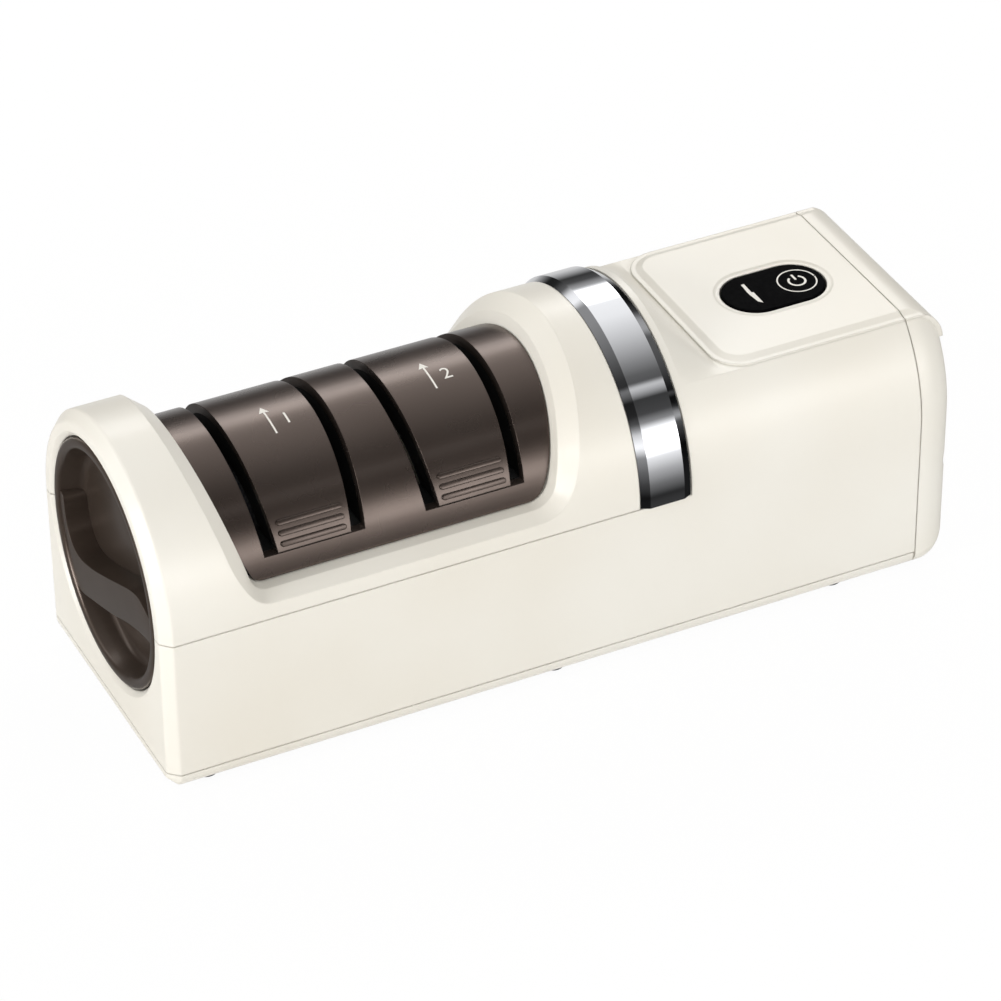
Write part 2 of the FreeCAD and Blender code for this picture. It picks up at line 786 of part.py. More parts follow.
keep(turned("armature_body", [
    ("motor_start + 6", "motor_shaft_radius + press_gap"),
    ("motor_start + 28", "motor_shaft_radius + press_gap"),
    ("motor_start + 28", "armature_radius - 4"),
    ("motor_start + 25", "armature_radius"),
    ("motor_start + 9", "armature_radius"),
    ("motor_start + 6", "armature_radius - 4"),
]), "motor_armature")

# Motor body, its bracket, the bulkhead and the bearings

keep(turned("motor_can_body", [
    ("motor_start", "5.02"),
    ("motor_start", "motor_radius"),
    ("motor_start + motor_length - 3", "motor_radius"),
    ("motor_start + motor_length - 3", "motor_radius - motor_skin"),
    ("motor_start + motor_skin", "motor_radius - motor_skin"),
    ("motor_start + motor_skin", "5.02"),
]), "motor_can")

keep(turned("front_bearing_body", [
    ("motor_start - 2.2", "motor_shaft_radius + running_gap"),
    ("motor_start + 3", "motor_shaft_radius + running_gap"),
    ("motor_start + 3", "5"),
    ("motor_start - 2.2", "5"),
]), "motor_bearing")

keep(turned("end_bell_body", [
    ("motor_start + motor_length - 2.9", "motor_shaft_radius + running_gap"),
    ("motor_start + motor_length - 2.9", "motor_radius - 0.3"),
    ("motor_start + motor_length", "motor_radius - 0.3"),
    ("motor_start + motor_length + 1.5", "6"),
    ("motor_start + motor_length + 1.5", "0"),
    ("motor_start + motor_length - 0.5", "0"),
    ("motor_start + motor_length - 0.5", "motor_shaft_radius + running_gap"),
]), "motor_end_bell")


def motor_magnets():
    """Two curved field magnets inside the can."""
    x0 = value("motor_start + 5")
    ring = tube(x0, x0 + 24, value("motor_radius - motor_skin - 0.05"), value("magnet_inside"))
    upper = ring.common(slab(x0 - 1, x0 + 30, AXIS + 5, TALL))
    lower = ring.common(slab(x0 - 1, x0 + 30, 0, AXIS - 5))
    return Part.makeCompound([upper, lower])


keep(freeform("motor_magnets_form", motor_magnets()), "motor_magnets")


def plate_section(x0, x1, z0, z1, radius):
    """Flat plate across the body with a round head, as a bulkhead has."""
    lower = slab(x0, x1, z0, AXIS, radius)
    return lower.fuse(tube(x0, x1, radius, 0)).common(slab(x0, x1, z0, z1)).removeSplitter()


def bulkhead():
    x0 = value("bulkhead_start")
    thickness = value("bulkhead_thickness")
    shape = plate_section(x0, x0 + thickness, BASE_TOP + 0.2, TALL, SIDE_INNER - 0.3)
    shape = shape.fuse(tube(x0, x0 + 5.5, 8, 0))
    shape = shape.cut(opening_cutter(2.2, True))
    return shape.cut(tube(x0 - 1, x0 + 8, value("bush_radius + press_gap"), 0)).removeSplitter()


def motor_bracket():
    x0 = value("bracket_start")
    shape = plate_section(x0, x0 + value("bracket_thickness"), 24.2, 58, SIDE_INNER - 0.4)
    shape = shape.common(tube(x0 - 1, x0 + 5, value("neck_inside - 0.4"), 0).fuse(
        slab(x0 - 1, x0 + 5, 0, AXIS, SIDE_INNER - 0.4)))
    shape = shape.cut(tube(x0 - 1, x0 + 5, 5.02, 0))
    for side in (-1, 1):
        hole = Part.makeCylinder(value("screw_radius + 0.02"), 5, vector(x0 - 1, side * 9, AXIS),
                                 X_AXIS)
        shape = shape.cut(hole)
    return shape


keep(freeform("bulkhead_form", bulkhead()), "bulkhead")
keep(freeform("motor_bracket_form", motor_bracket()), "motor_bracket")
keep(turned("shaft_bush_body", [
    ("bulkhead_start - 1.2", "shaft_radius + running_gap"),
    ("bulkhead_start + 5.5", "shaft_radius + running_gap"),
    ("bulkhead_start + 5.5", "bush_radius"),
    ("bulkhead_start", "bush_radius"),
    ("bulkhead_start", "bush_radius + 1.6"),
    ("bulkhead_start - 1.2", "bush_radius + 1.6"),
]), "rear_bush")

# Battery, control board and charging socket


def cell(index, side):
    return rod("cell_%d" % index, ("cell_start", "%s cell_pitch / 2" % side, "cell_height"),
               "cell_radius", "cell_length")


keep(group("cell_group", [cell(0, "0 -"), cell(1, "0 +")]), "battery_cells")


def battery_cradle():
    x0 = value("cell_start + 2")
    shape = slab(x0, x0 + value("cell_length - 4"), 2.8, 10, 21)
    for side in (-1, 1):
        trough = Part.makeCylinder(value("cell_radius + 0.1"), 80,
                                   vector(x0 - 5, side * value("cell_pitch / 2"),
                                          value("cell_height")), X_AXIS)
        shape = shape.cut(trough)
    return shape


keep(freeform("battery_cradle_form", battery_cradle()), "battery_cradle")


def control_board():
    z = value("board_height")
    x0 = value("board_start")
    half = value("board_width / 2")
    shape = Part.makeBox(value("board_length"), 2 * half, value("board_thickness"),
                         vector(x0, -half, z))
    for x, y in BOARD_SCREWS:
        shape = shape.cut(post(x, y, z - 1, z + 4, value("screw_radius + 0.1")))
    return shape


keep(freeform("control_board_form", control_board()), "control_board")

BOARD_TOP = value("board_height + board_thickness")


def board_parts():
    """Chips, capacitor and lead header soldered on the underside of the board."""
    under = value("board_height")
    chips = [Part.makeBox(7, 7, 1.1, vector(154, -12, under - 1.1)),
             Part.makeBox(5, 4, 1.1, vector(174, -10, under - 1.1)),
             Part.makeBox(6, 3, 1.2, vector(175, 8, under - 1.2)),
             Part.makeBox(4, 8, 2.2, vector(179.4, -4, under - 2.2))]
    return Part.makeCompound(chips)


keep(freeform("board_parts_form", board_parts()), "board_parts")

SWITCH_X = value("key_centre")
SWITCH_Y = -value("key_side")
SWITCH_TOP = BOARD_TOP + 1.5
keep(freeform("tact_switch_form", Part.makeBox(6, 6, SWITCH_TOP - BOARD_TOP,
                                               vector(SWITCH_X - 3, SWITCH_Y - 3, BOARD_TOP))),
     "tact_switch")


def indicator_lamps():
    lamps = [Part.makeBox(2, 1.4, 0.8, vector(SWITCH_X + dx, SWITCH_Y - 0.7, BOARD_TOP))
             for dx in (-9.0, 7.0)]
    return Part.makeCompound(lamps)


keep(freeform("indicator_lamps_form", indicator_lamps()), "indicator_lamps")


def power_key():
    """Oval key cap with a flange that keeps it under the panel."""
    top = value("panel_height + key_rise")
    cap = stadium(SWITCH_X, SWITCH_Y, value("key_length"), value("key_width"), ROOF - 0.6, top)
    rim = [edge for edge in cap.Edges if edge.BoundBox.ZMin > top - 0.01]
    cap = cap.makeFillet(0.5, rim)
    flange = stadium(SWITCH_X, SWITCH_Y, value("key_length") + 2.4, value("key_width") + 2.4,
                     ROOF - 1.3, ROOF - 0.35)
    return cap.fuse(flange).removeSplitter()


keep(freeform("power_key_form", power_key()), "power_key")
PLUNGER_TOP = ROOF - 1.3
keep(freeform("key_plunger_form",
              post(SWITCH_X, SWITCH_Y, SWITCH_TOP + value("key_travel + 0.05"), PLUNGER_TOP, 1.6)),
     "key_plunger")


def charging_socket():
    """Plug socket: a rounded metal sleeve with a thin contact tongue."""
    x0 = 189.5
    x1 = LENGTH - 0.8
    sleeve = socket_form(0.0, x0, x1).cut(socket_form(-0.35, x0 + 1.0, x1 + 1))
    z = value("socket_height")
    tongue = Part.makeBox(5.0, 5.6, 0.7, vector(x0 + 0.5, -2.8, z - 0.35))
    return sleeve.fuse(tongue).removeSplitter()


keep(freeform("charging_socket_form", charging_socket()), "charging_socket")
keep(freeform("charging_board_form",
              Part.makeBox(13.0, 18.0, 1.2, vector(181.0, -9.0, value("socket_height") - 2.85))),
     "charging_board")

# Leads inside the rear body


def lead(points, radius, bend):
    """Round lead along straight runs joined by tangent arcs."""
    path = []
    start = points[0]
    for before, corner, after in zip(points, points[1:], points[2:]):
        into = (corner - before).normalize()
        onward = (after - corner).normalize()
        turn = into.getAngle(onward)
        setback = bend * math.tan(turn / 2)
        first = corner - into * setback
        last = corner + onward * setback
        inward = (onward - into).normalize()
        middle = corner + inward * (bend / math.cos(turn / 2) - bend)
        path.append(Part.LineSegment(start, first).toShape())
        path.append(Part.Arc(first, middle, last).toShape())
        start = last
    path.append(Part.LineSegment(start, points[-1]).toShape())
    wire = Part.Wire(path)
    circle = Part.Wire(Part.makeCircle(radius, points[0], points[1] - points[0]))
    tube_shape = wire.makePipeShell([circle], True, False)
    ideal = math.pi * radius ** 2 * wire.Length
    print("lead volume against section times length", round(tube_shape.Volume / ideal, 4))
    return tube_shape


def leads(label, routes):
    shape = Part.makeCompound([lead([vector(*point) for point in route], 0.7, 3.0)
                               for route in routes])
    keep(freeform(label + "_group", shape), label)


motor_back = value("motor_start + motor_length + 1.55")
leads("motor_leads", [
    [(motor_back, y, AXIS), (motor_back + 8, y, AXIS), (motor_back + 8, y, 53.4)]
    for y in (-2.5, 2.5)])
leads("battery_leads", [
    [(177.1, y, 13.8), (184.6, y, 13.8), (184.6, y, 30), (184.6, y * 0.8, 53.4)]
    for y in (-12.0, 12.0)])

# Filings tray with the turn knob


def filings_tray():
    """Round front disc with a half-round trough behind it that lies under the wheels."""
    x0 = value("tray_front")
    x1 = value("tray_end")
    outside = value("tray_outside")
    skin = value("tray_skin")
    trough = tube(x0, x1, outside, 0).cut(tube(x0 + 2.5, x1 - skin, outside - skin, 0))
    trough = trough.cut(slab(x0 + 2.5, x1 + 1, value("tray_top"), TALL))
    bore = tube(x0 - 1, x0 + 5, value("hub_radius + running_gap"), 0)
    passage = tube(x1 - 2 * skin, x1 + 1, value("wheel_radius + 0.8"), 0)
    return trough.cut(bore).cut(passage).removeSplitter()


keep(freeform("filings_tray_form", filings_tray()), "filings_tray")


def tray_magnet():
    """Flat magnet strip in the bottom of the tray, which holds the steel dust."""
    bottom = AXIS - value("tray_outside - tray_skin")
    return slab(30, 88, bottom + 0.75, bottom + 2.4, 5.0)


keep(freeform("tray_magnet_form", tray_magnet()), "tray_magnet")


def grip_knob():
    """Turn knob: rimmed bowl with an S-shaped finger vane across it and a hub behind."""
    depth = value("knob_depth")
    face = value("knob_recess")
    outer = value("knob_radius")
    rim = value("knob_rim")
    bowl = tube(face, depth, outer, 0)
    mouth = Part.makeCone(outer - rim + 0.6, outer - rim - 1.6, depth - face - 2.0,
                          vector(face - 0.001, 0, AXIS), X_AXIS)
    shape = bowl.cut(mouth)
    shape = shape.fuse(vane(face + 0.65, depth - 1.0).common(tube(0, depth, outer - 0.5, 0)))
    hub = tube(depth - 0.1, 13.6, value("hub_radius"), 0)
    shape = shape.fuse(hub)
    groove = tube(11.8, 12.9, value("hub_radius + 1"), value("hub_radius - 1.2"))
    shape = shape.cut(groove)
    return shape.cut(tube(depth + 0.1, 14, value("bush_radius + press_gap"), 0)).removeSplitter()


VANE_CREST = ((26.6, 3.0), (25.0, 3.3), (23.9, 1.8), (23.3, -2.9), (21.2, -7.0), (16.7, -8.9),
              (9.0, -7.2), (-0.3, -3.6), (-8.0, -0.3), (-15.5, 2.7), (-20.2, 3.3), (-26.0, 1.4))
VANE_FOOT = ((26.2, -6.4), (25.0, -9.4), (23.9, -12.0), (22.0, -15.4), (19.6, -17.6),
             (16.0, -18.3), (8.9, -16.1), (-1.9, -12.4), (-11.1, -8.6), (-16.4, -6.8),
             (-21.0, -5.6), (-25.4, -4.9))


def vane(x0, x1):
    """S-shaped bar across the knob between a crest and a foot curve, both seen from the front."""
    curves = []
    for places in (VANE_CREST, VANE_FOOT):
        curve = Part.BSplineCurve()
        curve.interpolate([vector(x0, across, AXIS + rise) for across, rise in places])
        curves.append(curve.toShape())
    ends = [Part.LineSegment(curves[0].Vertexes[i].Point, curves[1].Vertexes[i].Point).toShape()
            for i in (0, 1)]
    outline = Part.Wire(Part.__sortEdges__(curves + ends))
    return Part.Face(outline).extrude(vector(x1 - x0, 0, 0))


keep(freeform("grip_knob_form", grip_knob()), "grip_knob")
keep(turned("front_bush_body", [
    ("shaft_start - 0.3", "shaft_tip_radius + running_gap"),
    ("shaft_start + 3.7", "shaft_tip_radius + running_gap"),
    ("shaft_start + 3.7", "bush_radius"),
    ("shaft_start - 0.3", "bush_radius"),
]), "front_bush")
keep(turned("knob_clip_body", [
    ("11.9", "hub_radius - 1.1"),
    ("12.8", "hub_radius - 1.1"),
    ("12.8", "hub_radius + 1.8"),
    ("11.9", "hub_radius + 1.8"),
]), "knob_clip")

# Placing, checking and writing

doc.recompute()
problems = []
for item in doc.Objects:
    if "Invalid" in item.State or "Error" in item.State:
        problems.append("%s is %s" % (item.Name, item.State))
for item in sub_parts:
    if item.Shape.isNull() or not item.Shape.isValid():
        problems.append(item.Label + " has no valid shape")
if problems:
    raise SystemExit("\n".join(problems))

os.makedirs("parts", exist_ok=True)
for item in sub_parts:
    item.Shape.exportStep("parts/%s.step" % item.Label)
    print("%-24s solids %d volume %.0f" % (item.Label, len(item.Shape.Solids), item.Shape.Volume))
print(len(sub_parts), "sub-parts written")
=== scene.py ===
# %% [markdown]
# # An electric knife sharpener, dressed for its picture
# The construction is already there: every solid piece comes packed from the workshop model, in
# metres, with the worktop at z = 0. This lesson gives each piece its finish, and models again
# the few mouldings whose soft edges catch the light.

# %% Load the frame and keep its box
import json
import math

import bmesh
import bpy
from mathutils import Matrix, Vector


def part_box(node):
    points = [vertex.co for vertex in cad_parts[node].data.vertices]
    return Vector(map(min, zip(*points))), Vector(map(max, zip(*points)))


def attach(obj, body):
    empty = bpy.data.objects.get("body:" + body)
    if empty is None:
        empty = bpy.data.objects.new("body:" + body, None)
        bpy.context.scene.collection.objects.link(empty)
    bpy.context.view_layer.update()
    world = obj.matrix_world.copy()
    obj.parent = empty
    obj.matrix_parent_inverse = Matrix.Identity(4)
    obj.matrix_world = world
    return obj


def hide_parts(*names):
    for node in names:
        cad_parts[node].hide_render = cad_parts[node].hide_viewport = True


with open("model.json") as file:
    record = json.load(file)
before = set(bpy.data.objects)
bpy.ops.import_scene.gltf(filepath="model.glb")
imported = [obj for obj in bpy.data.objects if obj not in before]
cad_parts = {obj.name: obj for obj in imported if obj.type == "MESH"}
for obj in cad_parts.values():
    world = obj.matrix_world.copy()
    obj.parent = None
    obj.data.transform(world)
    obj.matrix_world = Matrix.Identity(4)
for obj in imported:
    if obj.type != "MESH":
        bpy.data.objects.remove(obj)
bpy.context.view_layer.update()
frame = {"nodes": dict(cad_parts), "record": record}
MM = 0.001

# %% [markdown]
# All sizes below are millimetres measured from the front face of the body and from the
# underside of the housing, as on a bench. The frame has its origin on the worktop under the
# middle, so one small function turns a bench place into a frame place, and another turns it
# back. The grinding axis, which the knob, the arch and the cover share, is found from the
# drive shaft.

# %% Bench measures
LENGTH = 198.0
FOOT = 1.2
SHAFT_LOW, SHAFT_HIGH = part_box("drive_shaft")
AXIS = (SHAFT_LOW[2] + SHAFT_HIGH[2]) / 2 / MM - FOOT


def place(x, y, z):
    """The frame's place, in metres, of a bench place in millimetres."""
    return Vector(((x - LENGTH / 2) * MM, y * MM, (z + FOOT) * MM))


def bench(point):
    """The bench place of a point of the frame, in millimetres."""
    return (point[0] / MM + LENGTH / 2, point[1] / MM, point[2] / MM - FOOT)


print("grinding axis stands", round(AXIS, 2), "mm above the underside")

# %% [markdown]
# ## Camera
# The photograph was taken with a long lens from the knob end, well above the worktop. A camera
# turned by hand would drift, so its three directions are worked out from an azimuth, an
# elevation and a small roll. The lens is given for a 36 mm wide frame.

# %% Camera
CAMERA_PLACE = place(-286.9, -795.5, 654.5)
AZIMUTH, ELEVATION, ROLL = math.radians(-25.80), math.radians(35.45), math.radians(-0.58)
LENS = 170.5
back = Vector((math.sin(AZIMUTH) * math.cos(ELEVATION),
               -math.cos(AZIMUTH) * math.cos(ELEVATION), math.sin(ELEVATION)))
level = Vector((math.cos(AZIMUTH), math.sin(AZIMUTH), 0))
upward = back.cross(level)
right = math.cos(ROLL) * level + math.sin(ROLL) * upward
up = math.cos(ROLL) * upward - math.sin(ROLL) * level
turn = Matrix((right, up, back)).transposed().to_euler()
bpy.ops.object.camera_add(location=CAMERA_PLACE, rotation=turn)
camera = bpy.context.object
camera.data.lens = LENS
camera.data.sensor_width = 36
camera.data.clip_end = 10
bpy.context.scene.camera = camera
bpy.context.scene.view_settings.view_transform = "Standard"
print("camera turned", [round(math.degrees(a), 2) for a in turn])

# %% [markdown]
# ## Nodes and colours
# Materials are small node trees. One function turns a web colour into the linear values that
# the shader needs, and one adds a node with its settings and links, whatever its kind.

# %% Colours and nodes


def colour(code):
    """An sRGB hex colour such as "F1EEE2" as linear RGBA."""
    channels = [int(code[i:i + 2], 16) / 255 for i in (0, 2, 4)]
    linear = [c / 12.92 if c <= 0.04045 else ((c + 0.055) / 1.055) ** 2.4 for c in channels]
    return (*linear, 1.0)


def add(tree, kind, settings=None, inputs=None, links=None):
    """Add a node; settings are its own, inputs are socket values, links are (socket, output)."""
    node = tree.nodes.new(kind)
    for name, number in (settings or {}).items():
        setattr(node, name, number)
    for name, number in (inputs or {}).items():
        node.inputs[name].default_value = number
    for name, output in (links or {}).items():
        tree.links.new(output, node.inputs[name])
    return node


def material(name):
    """A new material with a Principled shader, its tree and its shader."""
    item = bpy.data.materials.new(name)
    item.use_nodes = True
    return item, item.node_tree, item.node_tree.nodes["Principled BSDF"]


print("ivory in linear light:", [round(c, 3) for c in colour("E6E1D6")])

# %% [markdown]
# Real plastic is never one flat colour. One kind of ramp and one kind of noise are enough for
# all the finishes here: the ramp picks the colour, and the noise says where.

# %% Ramp and noise


def ramp(tree, factor, stops):
    """A colour ramp of (position, hex colour) stops."""
    node = add(tree, "ShaderNodeValToRGB", links={"Fac": factor})
    elements = node.color_ramp.elements
    for element, (position, code) in zip(elements, (stops[0], stops[-1])):
        element.position = position
        element.color = colour(code)
    for position, code in stops[1:-1]:
        elements.new(position).color = colour(code)
    return node.outputs["Color"]


def noise(tree, size_mm, detail=2.0):
    """Noise whose blotches are about size_mm across, on the piece's own coordinates."""
    where = add(tree, "ShaderNodeTexCoord")
    return add(tree, "ShaderNodeTexNoise", inputs={"Scale": 1000 / size_mm, "Detail": detail},
               links={"Vector": where.outputs["Object"]}).outputs["Fac"]


print("noise 0.5 mm across has the scale", 1000 / 0.5)

# %% [markdown]
# ## Moulded finishes
# Nearly every piece is moulded, cast or plated, so one recipe serves: a colour that drifts
# faintly, a gloss that is a little uneven, and a fine grain as relief. The recipe can also
# round crisp edges to the eye, which spares modelling again every large shell.

# %% Recipe for a moulded finish
GLOSS_DRIFT = 0.15
GLOSS_BLOTCH = 0.4
COAT_ROUGHNESS = 0.08


def grain(tree, shader, grain_mm, depth_mm, edge_mm):
    """Fine relief on a shader; edge_mm also rounds the look of crisp edges by that radius."""
    relief = add(tree, "ShaderNodeBump", inputs={"Strength": 1.0, "Distance": depth_mm * MM},
                 links={"Height": noise(tree, grain_mm, 1.0)})
    if edge_mm:
        soft = add(tree, "ShaderNodeBevel", {"samples": 4}, {"Radius": edge_mm * MM})
        tree.links.new(soft.outputs["Normal"], relief.inputs["Normal"])
    tree.links.new(relief.outputs["Normal"], shader.inputs["Normal"])


def moulded(name, low, high, roughness, size_mm, grain_mm=0.35, grain_depth=0.004, coat=0.0,
            metallic=0.0, ior=1.5, edge_mm=0.0):
    """A finish between two colours; size_mm is the drift, grain_mm and grain_depth the relief."""
    item, tree, shader = material(name)
    tree.links.new(ramp(tree, noise(tree, size_mm), [(0.3, low), (0.7, high)]),
                   shader.inputs["Base Color"])
    gloss = add(tree, "ShaderNodeMapRange",
                inputs={"To Min": roughness * (1 - GLOSS_DRIFT),
                        "To Max": roughness * (1 + GLOSS_DRIFT)},
                links={"Value": noise(tree, size_mm * GLOSS_BLOTCH)})
    tree.links.new(gloss.outputs["Result"], shader.inputs["Roughness"])
    shader.inputs["Metallic"].default_value = metallic
    shader.inputs["IOR"].default_value = ior
    shader.inputs["Coat Weight"].default_value = coat
    shader.inputs["Coat Roughness"].default_value = COAT_ROUGHNESS
    grain(tree, shader, grain_mm, grain_depth, edge_mm)
    return item


print("gloss wanders by", round(100 * GLOSS_DRIFT), "% either way")

# %% [markdown]
# ## Housing
# The housing is glossy ivory ABS with a faint pearl: a warm white whose shaded sides go beige.
# A thin clear coat over a softer base gives the wide glow and the crisp edge lights together.

# %% Housing finish
# A polished mould leaves no grain to see: this one is drawn far coarser than real, at 0.5 mm,
# and only makes the reflections a little less perfect.
ivory_abs = moulded("ivory_pearl_abs", "E6E1D6", "ECE9E1", 0.36, 60, 0.5, 0.0015, coat=0.12,
                    edge_mm=0.5)
print("housing finish:", ivory_abs.name)

# %% [markdown]
# ## Cover and knob
# The cover and knob are moulded in dark brown ABS with a metallic-effect pigment: nearly black
# in shade, warm grey where the light strikes. The pigment is a real metal flake, so a high
# metallic value gives that swing from dark to light better than a glossy brown would.

# %% Brown finishes
# The flakes are some hundredths of a millimetre: drawn at 0.25 mm, as coarse as shows.
brown_abs = moulded("brown_metallic_effect_abs", "544943", "5A4F49", 0.28, 30, 0.25, 0.001,
                    coat=0.15, metallic=0.8, edge_mm=0.25)
# The knob's face is satin, so its lights are broader and softer than the cover's.
brown_knob_abs = moulded("brown_satin_abs", "54483F", "5C5048", 0.30, 30, 0.3, 0.001,
                         coat=0.2, metallic=0.6)
print("brown finishes:", brown_abs.name, brown_knob_abs.name)

# %% [markdown]
# ## Trim, key, feet and linings
# The arch is chrome plated on plastic, which makes a mirror: it has no colour of its own and
# shows the dark and bright strips of the room. Next to it the key has to stay deep black, and
# the rubber and nylon pieces are only there to stay quiet.

# %% Trim, key and rubber finishes
# Chrome over smooth ABS: a cool mirror. Its waves are 4 mm wide, as plated plastic has, and
# so shallow that they only bend the reflections a little.
chrome_plate = moulded("bright_chrome_plated_abs", "D4D5D8", "DADBDE", 0.05, 40, 4.0, 0.0002,
                       metallic=1.0)
# Black lacquer with a fine speckle: the low IOR keeps it from turning grey under a bright sky.
key_lacquer = moulded("black_speckled_key", "030304", "0A0A0B", 0.6, 1.2, 0.45, 0.004, ior=1.08)
# Moulded rubber: matt, with a grain that swallows the light.
foot_rubber = moulded("matt_black_rubber", "151515", "1C1C1C", 0.75, 8, 0.4, 0.02)
# Glass-filled nylon of the slot linings: black, with a dull sheen. Their black is also
# painted shade, standing in for the dark depths of the narrow slots.
black_nylon_slot_shade = moulded("matt_black_nylon_slot_shade", "0B0B0B", "101010", 0.6, 12, 0.4, 0.01)
# Dark ABS of the filings tray: a soft sheen that shows its round bottom.
tray_abs = moulded("dark_grey_abs", "201D1C", "292524", 0.5, 20, 0.4, 0.008)
print("outer finishes:", [item.name for item in (chrome_plate, key_lacquer, foot_rubber,
                                                 black_nylon_slot_shade, tray_abs)])

# %% [markdown]
# ## Inside
# The inside is seen when the cover is off or the tray is out: steel, abrasive, bronze and white
# nylon along the shaft, and behind the bulkhead the usual colours of a motor and its board.
# Metals keep the usual IOR and get their look from the metallic value and the roughness.

# %% Metals of the inside
# Zinc plating is a cool grey that blurs what it reflects.
zinc_steel = moulded("zinc_plated_steel", "9B9C9E", "A9AAAC", 0.32, 10, 0.5, 0.003, metallic=1.0)
# A ground shaft is brighter and sharper.
ground_steel = moulded("ground_steel", "A8A9AB", "B4B5B7", 0.22, 12, 0.3, 0.002, metallic=1.0)
# Sintered bronze is full of oil pores, so its gold stays dull. The pores are drawn at 0.3 mm,
# about three times too coarse.
bronze = moulded("sintered_bronze", "9A7440", "B08A52", 0.45, 3, 0.3, 0.01, metallic=1.0)
# Lacquered copper wire: reddish, with the ripple of its turns.
copper_winding = moulded("lacquered_copper_winding", "8A4522", "A8592F", 0.3, 1.2, 0.6, 0.08,
                         metallic=0.8)
print("inner metals:", [item.name for item in (zinc_steel, ground_steel, bronze,
                                               copper_winding)])

# %% Abrasives and plastics of the inside
# The coarse wheel's grit is about 0.1 mm and the fine one's far less: both are drawn larger,
# at 0.6 and 0.35 mm, because speckle that fine would blur to one grey.
coarse_grit = moulded("coarse_bonded_grit", "4A4B50", "74757A", 0.85, 0.7, 0.6, 0.12)
fine_grit = moulded("fine_ceramic_grit", "B9B4AA", "D0CCC2", 0.7, 0.5, 0.35, 0.05)
# Uncoloured nylon: a milky white, duller than the housing.
white_nylon = moulded("natural_nylon", "CFCDC6", "DCDAD3", 0.5, 15, 0.5, 0.01)
# Sintered ferrite: charcoal grey, like fired clay.
ferrite = moulded("sintered_ferrite", "26262A", "303034", 0.6, 5, 0.4, 0.01)
# Solder resist: deep green and fairly glossy.
board_green = moulded("green_solder_resist", "0F4A26", "165A31", 0.35, 4, 0.5, 0.01)
# Moulded epoxy of the board's parts: black, with the faint grain of its mould.
chip_epoxy = moulded("moulded_epoxy", "161616", "1E1E1E", 0.55, 4, 0.3, 0.01)
# Lamp lens: pale and very glossy, with the lamp behind it dark.
clear_lens = moulded("clear_lamp_lens", "DDE3E8", "EEF2F5", 0.15, 4, 0.5, 0.002)
# Shrink sleeve of the cells: blue film with a slight orange peel.
blue_sleeve = moulded("shrink_sleeve", "17466B", "1E547D", 0.3, 10, 0.8, 0.01)
# Soft PVC of the leads: red, with a waxy gloss.
red_pvc = moulded("red_pvc_insulation", "7E1414", "921C1C", 0.45, 6, 0.5, 0.01)
print("materials so far:", len(bpy.data.materials))

# %% [markdown]
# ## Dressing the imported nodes
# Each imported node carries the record's slot name, so one table dresses every node at once.

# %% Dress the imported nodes
FINISH = {
    "shell_cream": ivory_abs,
    "guide_brown": brown_abs,
    # The slot linings' black nylon is also painted shade inside the slots.
    "insert_black": black_nylon_slot_shade,
    "trim_chrome": chrome_plate,
    "key_black": key_lacquer,
    "foot_rubber": foot_rubber,
    "screw_steel": zinc_steel,
    "shaft_steel": ground_steel,
    "wheel_grit": coarse_grit,
    "wheel_grit_fine": fine_grit,
    "bush_brass": bronze,
    "nylon_white": white_nylon,
    "motor_steel": zinc_steel,
    "magnet_dark": ferrite,
    "armature_copper": copper_winding,
    "board_green": board_green,
    "chip_black": chip_epoxy,
    "lamp_clear": clear_lens,
    "cell_wrap": blue_sleeve,
    "lead_pvc": red_pvc,
    "tray_grey": tray_abs,
}
for part in frame["record"]["subparts"]:
    mesh = frame["nodes"][part["node"]].data
    mesh.materials.clear()
    mesh.materials.append(FINISH[part["material_slot"]])

# %% [markdown]
# ## Modelling helpers
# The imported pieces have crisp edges, and real mouldings do not. A few pieces that the light
# shows up are modelled again here with the edit mode operators. Everything is deselected first,
# because the loader leaves its pieces selected, and an operator acts on all that is selected.

# %% Selecting and joining


def start():
    """Leave edit mode and deselect everything."""
    if bpy.context.mode != "OBJECT":
        bpy.ops.object.mode_set(mode="OBJECT")
    bpy.ops.object.select_all(action="DESELECT")


def pick_edges(piece, test):
    """In edit mode, select just the edges whose two ends both pass the test, in bench mm."""
    bpy.ops.mesh.select_mode(type="EDGE")
    bpy.ops.mesh.select_all(action="DESELECT")
    mesh = bmesh.from_edit_mesh(piece.data)
    chosen = 0
    for edge in mesh.edges:
        edge.select = all(test(*bench(vertex.co)) for vertex in edge.verts)
        chosen += edge.select
    mesh.select_flush_mode()
    bmesh.update_edit_mesh(piece.data)
    return chosen


def join_all(pieces):
    """Join pieces into the first of them, and return it."""
    start()
    for piece in pieces:
        piece.select_set(True)
    bpy.context.view_layer.objects.active = pieces[0]
    bpy.ops.object.join()
    return pieces[0]


start()
print("selected after a start:", len(bpy.context.selected_objects))

# %% [markdown]
# Two more helpers finish a piece. One rounds its crisp edges with a bevel modifier, which is
# applied at once. The other gives the piece its name, finish and smooth shading, hangs it on
# the empty of the body it rides on, and hides the imported node it stands for.

# %% Rounding and dressing
SMOOTH_UNDER = math.radians(30)


def soften(piece, width_mm, segments):
    """Round every crisp edge of a piece by about width_mm."""
    rounding = piece.modifiers.new("soft_edges", "BEVEL")
    rounding.width = width_mm * MM
    rounding.segments = segments
    rounding.limit_method = "ANGLE"
    bpy.ops.object.modifier_apply(modifier=rounding.name)


def dress(piece, name, finish, body, stands_for=None):
    """Name a finished piece, give it its finish, shading and body."""
    start()
    piece.select_set(True)
    bpy.context.view_layer.objects.active = piece
    bpy.ops.object.transform_apply(location=True, rotation=True, scale=True)
    bpy.ops.object.shade_smooth_by_angle(angle=SMOOTH_UNDER)
    piece.name = piece.data.name = name
    piece.data.materials.clear()
    piece.data.materials.append(finish)
    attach(piece, body)
    if stands_for:
        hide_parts(stands_for)
    print(name, len(piece.data.polygons), "faces")


